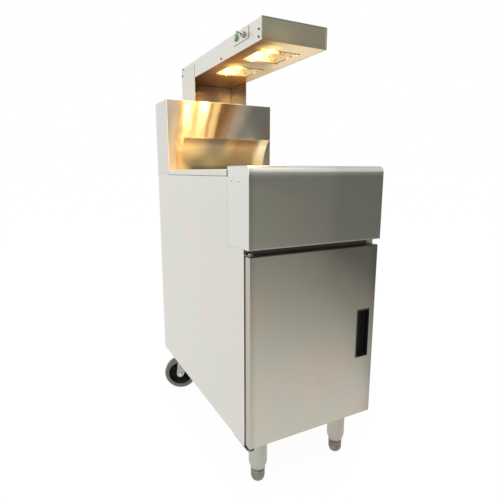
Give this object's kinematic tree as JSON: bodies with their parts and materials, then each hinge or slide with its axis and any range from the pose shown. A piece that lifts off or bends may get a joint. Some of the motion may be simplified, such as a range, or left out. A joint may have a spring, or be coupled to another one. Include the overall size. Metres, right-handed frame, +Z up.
{
  "type": "chip warmer",
  "caption": "Free-standing heated food warmer: cupboard with hinged door, lift-out scoop pan and an overhead lamp gantry, on feet and rear castors.",
  "frame": {"origin": "on the floor, under the middle of the bounding box", "axes": "+X to the right seen from the door, +Y from the door to the back, +Z up"},
  "size_m": [0.4366, 0.732, 1.205],
  "materials": {
    "stainless_body": "brushed, satin",
    "stainless_door": "brushed, satin",
    "stainless_pan": "brushed, satin",
    "stainless_leg": "satin",
    "polished_reflector": "polished",
    "white_ceramic": "matt",
    "quartz": "clear, ruby-warm when lit",
    "control_plate": "satin",
    "pilot_green": "translucent gloss",
    "black_plastic": "fine grain",
    "white_plastic": "matt",
    "plated_steel": "bright zinc",
    "bronze_bush": "oiled",
    "black_hub": "moulded",
    "grey_tyre": "matt"
  },
  "bodies": {
    "cabinet": {"side_panel_left": "stainless_body", "side_panel_right": "stainless_body", "base_panel": "stainless_body", "back_panel": "stainless_body", "cross_rail": "stainless_body", "fascia_panel": "stainless_body", "pan_rail_left": "stainless_body", "pan_rail_right": "stainless_body", "pan_rail_rear": "stainless_body", "splash_panel": "stainless_body", "splash_angles": "stainless_body", "splash_rear_cover": "stainless_body", "gantry_column": "stainless_body", "gantry_arms": "stainless_body", "column_rear_cover": "stainless_body", "head_cover": "stainless_body", "head_nose": "stainless_body", "head_base_plate": "stainless_body", "reflector_front": "polished_reflector", "reflector_rear": "polished_reflector", "lamp_holders": "white_ceramic", "quartz_tubes": "quartz", "lamp_caps": "white_ceramic", "control_plate": "control_plate", "pilot_body": "plated_steel", "pilot_lens": "pilot_green", "switch_body": "black_plastic", "switch_nut": "plated_steel", "terminal_block": "white_plastic", "cable_conduit": "white_plastic", "cable_gland": "black_plastic", "hinge_bracket_top": "plated_steel", "hinge_bracket_bottom": "plated_steel", "hinge_pins": "plated_steel", "small_screws": "plated_steel", "door_catch": "black_plastic", "leg_plates": "plated_steel", "leg_tubes": "stainless_leg", "plate_bolts": "plated_steel", "castor_plates": "plated_steel", "king_pins": "plated_steel", "panel_screws": "plated_steel"},
    "door": {"door_skin": "stainless_door", "door_liner": "stainless_door", "handle_pocket": "black_plastic", "door_bushes": "bronze_bush", "strike_plate": "plated_steel"},
    "switch_lever": {"toggle_lever": "plated_steel"},
    "foot_left": {"foot_left": "stainless_leg"},
    "foot_right": {"foot_right": "stainless_leg"},
    "scoop_pan": {"scoop_pan": "stainless_pan"},
    "drain_plate": {"drain_plate": "stainless_pan"},
    "castor_left": {"castor_fork_left": "plated_steel", "castor_axle_left": "plated_steel"},
    "wheel_left": {"castor_hub_left": "black_hub", "castor_tyre_left": "grey_tyre"},
    "castor_right": {"castor_fork_right": "plated_steel", "castor_axle_right": "plated_steel"},
    "wheel_right": {"castor_hub_right": "black_hub", "castor_tyre_right": "grey_tyre"}
  },
  "joints": [
    {"name": "door_hinge", "type": "hinge", "parent": "cabinet", "child": "door", "pos_m": [-0.188, -0.352, 0.4], "axis": [0, 0, -1], "range_deg": [0, 110]},
    {"name": "switch_lever_tilt", "type": "hinge", "parent": "cabinet", "child": "switch_lever", "pos_m": [-0.103, -0.1445, 1.186], "axis": [0, -1, 0], "range_deg": [0, 30]},
    {"name": "foot_left_screw", "type": "slide", "parent": "cabinet", "child": "foot_left", "axis": [0, 0, -1], "range_m": [0, 0.025]},
    {"name": "foot_right_screw", "type": "slide", "parent": "cabinet", "child": "foot_right", "axis": [0, 0, -1], "range_m": [0, 0.025]},
    {"name": "pan_lift", "type": "slide", "parent": "cabinet", "child": "scoop_pan", "axis": [0, 0, 1], "range_m": [0, 0.19]},
    {"name": "drain_plate_lift", "type": "slide", "parent": "scoop_pan", "child": "drain_plate", "axis": [0, 0, 1], "range_m": [0, 0.12]},
    {"name": "castor_left_swivel", "type": "hinge", "parent": "cabinet", "child": "castor_left", "pos_m": [-0.134, 0.2815, 0.14], "axis": [0, 0, 1], "continuous": true},
    {"name": "wheel_left_spin", "type": "hinge", "parent": "castor_left", "child": "wheel_left", "pos_m": [-0.15993, 0.29448, 0.06], "axis": [0.4478, 0.8942, 0], "continuous": true},
    {"name": "castor_right_swivel", "type": "hinge", "parent": "cabinet", "child": "castor_right", "pos_m": [0.134, 0.2815, 0.14], "axis": [0, 0, 1], "continuous": true},
    {"name": "wheel_right_spin", "type": "hinge", "parent": "castor_right", "child": "wheel_right", "pos_m": [0.15993, 0.29448, 0.06], "axis": [-0.4478, 0.8942, 0], "continuous": true}
  ]
}
